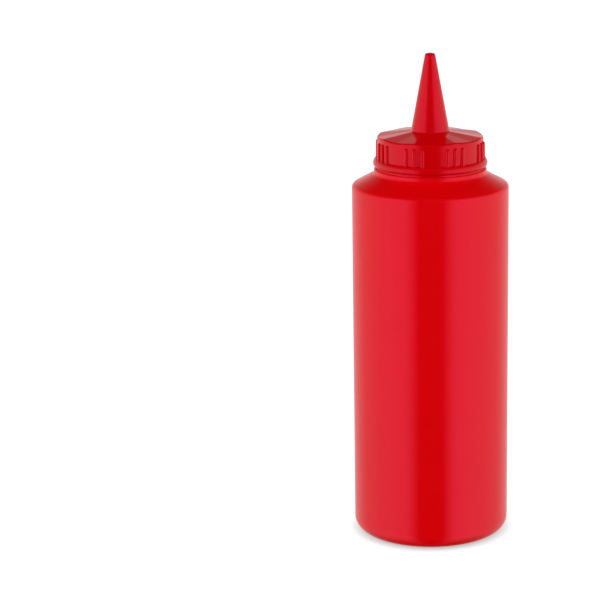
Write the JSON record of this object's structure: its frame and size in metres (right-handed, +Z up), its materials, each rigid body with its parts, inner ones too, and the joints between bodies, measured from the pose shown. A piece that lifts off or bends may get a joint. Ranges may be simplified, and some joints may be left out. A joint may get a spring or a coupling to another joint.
{
  "type": "squeeze bottle",
  "caption": "Round soft-plastic squeeze bottle for sauce, with a ribbed screw cap, a shallow ridged cap top and a long tapered nozzle.",
  "frame": {"origin": "centre of the base, on the surface that the bottle stands on", "axes": "+Z up along the bottle's axis to the nozzle tip, -Y to the front"},
  "size_m": [0.0686, 0.0686, 0.2148],
  "materials": {
    "bottle_plastic": "satin red polyethylene, coloured all through",
    "cap_plastic": "semi-gloss red moulded plastic"
  },
  "bodies": {
    "root": {"bottle": "bottle_plastic", "cap": "cap_plastic"}
  },
  "joints": []
}
